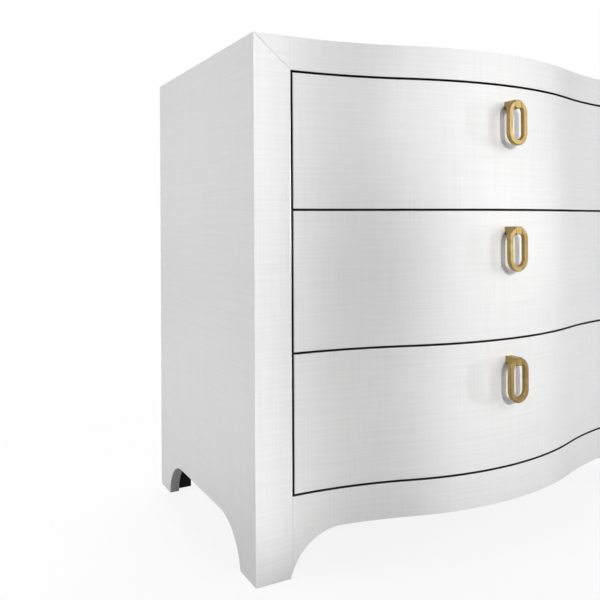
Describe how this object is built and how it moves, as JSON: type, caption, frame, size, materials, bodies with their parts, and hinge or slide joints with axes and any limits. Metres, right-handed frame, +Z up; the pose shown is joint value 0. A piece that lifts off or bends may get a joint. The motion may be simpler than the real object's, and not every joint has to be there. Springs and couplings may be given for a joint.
{
  "type": "serpentine chest of drawers",
  "caption": "Serpentine-front chest of drawers in white lacquered linen, on arched bracket feet, with flush drawers on ball slides and oval brass ring pulls.",
  "frame": {"origin": "on the floor, at the middle of the part's box in X and Y", "axes": "+X to the right across the front, +Y to the back, +Z up; the drawers open towards -Y"},
  "size_m": [0.762, 0.482, 0.711],
  "materials": {
    "lacquered_linen": "linen wrap under satin lacquer",
    "white_paint": "matt paint",
    "dark_paint": "matt black paint",
    "drawer_wood": "clear satin lacquer",
    "slide_steel": "zinc plated",
    "screw_steel": "zinc plated",
    "brass": "satin antique brass"
  },
  "bodies": {
    "case": {"left_side": "lacquered_linen", "right_side": "lacquered_linen", "left_stile": "lacquered_linen", "right_stile": "lacquered_linen", "top_rail": "lacquered_linen", "bottom_rail": "lacquered_linen", "top_panel": "lacquered_linen", "bottom_panel": "dark_paint", "back_panel": "white_paint", "back_rail": "white_paint", "foot_blocks": "dark_paint", "left_top_cleat": "dark_paint", "left_bottom_cleat": "dark_paint", "right_top_cleat": "dark_paint", "right_bottom_cleat": "dark_paint", "upper_divider": "dark_paint", "lower_divider": "dark_paint", "top_drawer_case_slides": "slide_steel", "middle_drawer_case_slides": "slide_steel", "bottom_drawer_case_slides": "slide_steel", "left_packers": "dark_paint", "right_packers": "dark_paint", "case_slide_screws": "screw_steel"},
    "top_drawer": {"top_drawer_drawer_slides": "slide_steel", "top_drawer_slide_screws": "screw_steel", "top_drawer_left": "drawer_wood", "top_drawer_right": "drawer_wood", "top_drawer_back": "drawer_wood", "top_drawer_bottom": "drawer_wood", "top_drawer_front": "lacquered_linen", "top_drawer_pull_post": "brass", "top_drawer_pull_pin": "brass", "top_drawer_pull_screw": "screw_steel"},
    "top_drawer_intermediates": {"top_drawer_intermediate_slides": "slide_steel"},
    "top_drawer_ring": {"top_drawer_pull_ring": "brass"},
    "middle_drawer": {"middle_drawer_drawer_slides": "slide_steel", "middle_drawer_slide_screws": "screw_steel", "middle_drawer_left": "drawer_wood", "middle_drawer_right": "drawer_wood", "middle_drawer_back": "drawer_wood", "middle_drawer_bottom": "drawer_wood", "middle_drawer_front": "lacquered_linen", "middle_drawer_pull_post": "brass", "middle_drawer_pull_pin": "brass", "middle_drawer_pull_screw": "screw_steel"},
    "middle_drawer_intermediates": {"middle_drawer_intermediate_slides": "slide_steel"},
    "middle_drawer_ring": {"middle_drawer_pull_ring": "brass"},
    "bottom_drawer": {"bottom_drawer_drawer_slides": "slide_steel", "bottom_drawer_slide_screws": "screw_steel", "bottom_drawer_left": "drawer_wood", "bottom_drawer_right": "drawer_wood", "bottom_drawer_back": "drawer_wood", "bottom_drawer_bottom": "drawer_wood", "bottom_drawer_front": "lacquered_linen", "bottom_drawer_pull_post": "brass", "bottom_drawer_pull_pin": "brass", "bottom_drawer_pull_screw": "screw_steel"},
    "bottom_drawer_intermediates": {"bottom_drawer_intermediate_slides": "slide_steel"},
    "bottom_drawer_ring": {"bottom_drawer_pull_ring": "brass"}
  },
  "joints": [
    {"name": "top_drawer_slide", "type": "slide", "parent": "case", "child": "top_drawer", "axis": [0, -1, 0], "range_m": [0, 0.33]},
    {"name": "top_drawer_intermediate_slide", "type": "slide", "parent": "case", "child": "top_drawer_intermediates", "axis": [0, -1, 0], "range_m": [0, 0.165]},
    {"name": "top_drawer_ring_hinge", "type": "hinge", "parent": "top_drawer", "child": "top_drawer_ring", "pos_m": [0, -0.2375, 0.6355], "axis": [-1, 0, 0], "range_deg": [-13, 90]},
    {"name": "middle_drawer_slide", "type": "slide", "parent": "case", "child": "middle_drawer", "axis": [0, -1, 0], "range_m": [0, 0.33]},
    {"name": "middle_drawer_intermediate_slide", "type": "slide", "parent": "case", "child": "middle_drawer_intermediates", "axis": [0, -1, 0], "range_m": [0, 0.165]},
    {"name": "middle_drawer_ring_hinge", "type": "hinge", "parent": "middle_drawer", "child": "middle_drawer_ring", "pos_m": [0, -0.2375, 0.4535], "axis": [-1, 0, 0], "range_deg": [-13, 90]},
    {"name": "bottom_drawer_slide", "type": "slide", "parent": "case", "child": "bottom_drawer", "axis": [0, -1, 0], "range_m": [0, 0.33]},
    {"name": "bottom_drawer_intermediate_slide", "type": "slide", "parent": "case", "child": "bottom_drawer_intermediates", "axis": [0, -1, 0], "range_m": [0, 0.165]},
    {"name": "bottom_drawer_ring_hinge", "type": "hinge", "parent": "bottom_drawer", "child": "bottom_drawer_ring", "pos_m": [0, -0.2375, 0.2645], "axis": [-1, 0, 0], "range_deg": [-13, 90]}
  ],
  "couplings": [
    {"joint": "top_drawer_intermediate_slide", "follows": "top_drawer_slide", "ratio": 0.5},
    {"joint": "middle_drawer_intermediate_slide", "follows": "middle_drawer_slide", "ratio": 0.5},
    {"joint": "bottom_drawer_intermediate_slide", "follows": "bottom_drawer_slide", "ratio": 0.5}
  ]
}
